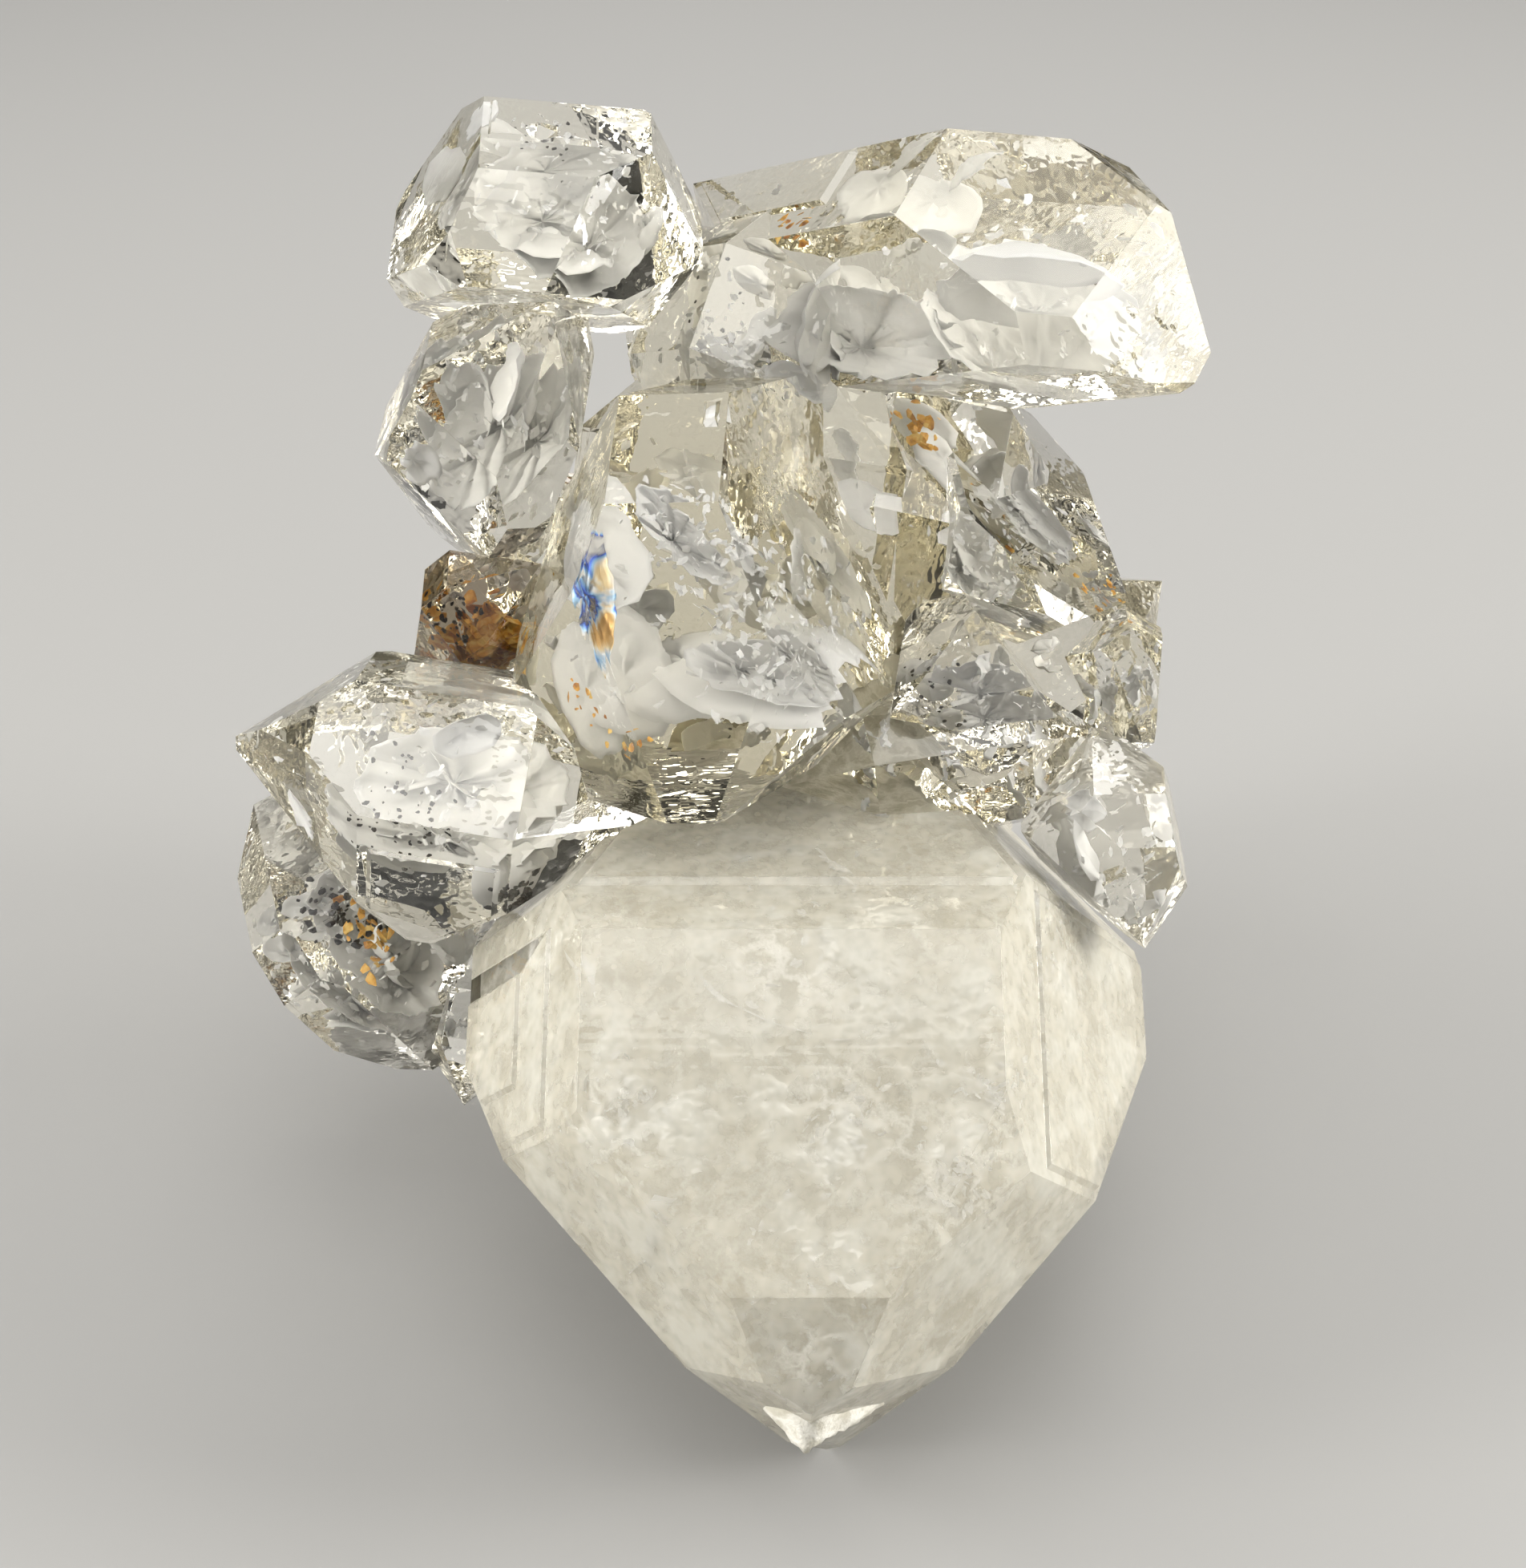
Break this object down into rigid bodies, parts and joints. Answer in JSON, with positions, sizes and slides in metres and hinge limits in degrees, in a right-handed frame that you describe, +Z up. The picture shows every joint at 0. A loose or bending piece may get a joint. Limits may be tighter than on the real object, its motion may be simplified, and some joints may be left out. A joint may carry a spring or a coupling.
{
  "type": "herkimer diamond crystal cluster",
  "caption": "Clear quartz crystals pointed at both ends and grown into one another, with flat natural faces, growth steps and pits, standing on two end faces as a mineral specimen",
  "frame": {"origin": "on the floor under the middle of the front crystal, on the end face that the crystal rests on", "axes": "+Z up as the cluster stands, -Y toward the viewer of the picture, +X to the viewer's right"},
  "size_m": [0.076, 0.0887, 0.0835],
  "materials": {
    "quartz": "polished"
  },
  "bodies": {
    "root": {"crystal_cluster": "quartz"}
  },
  "joints": []
}
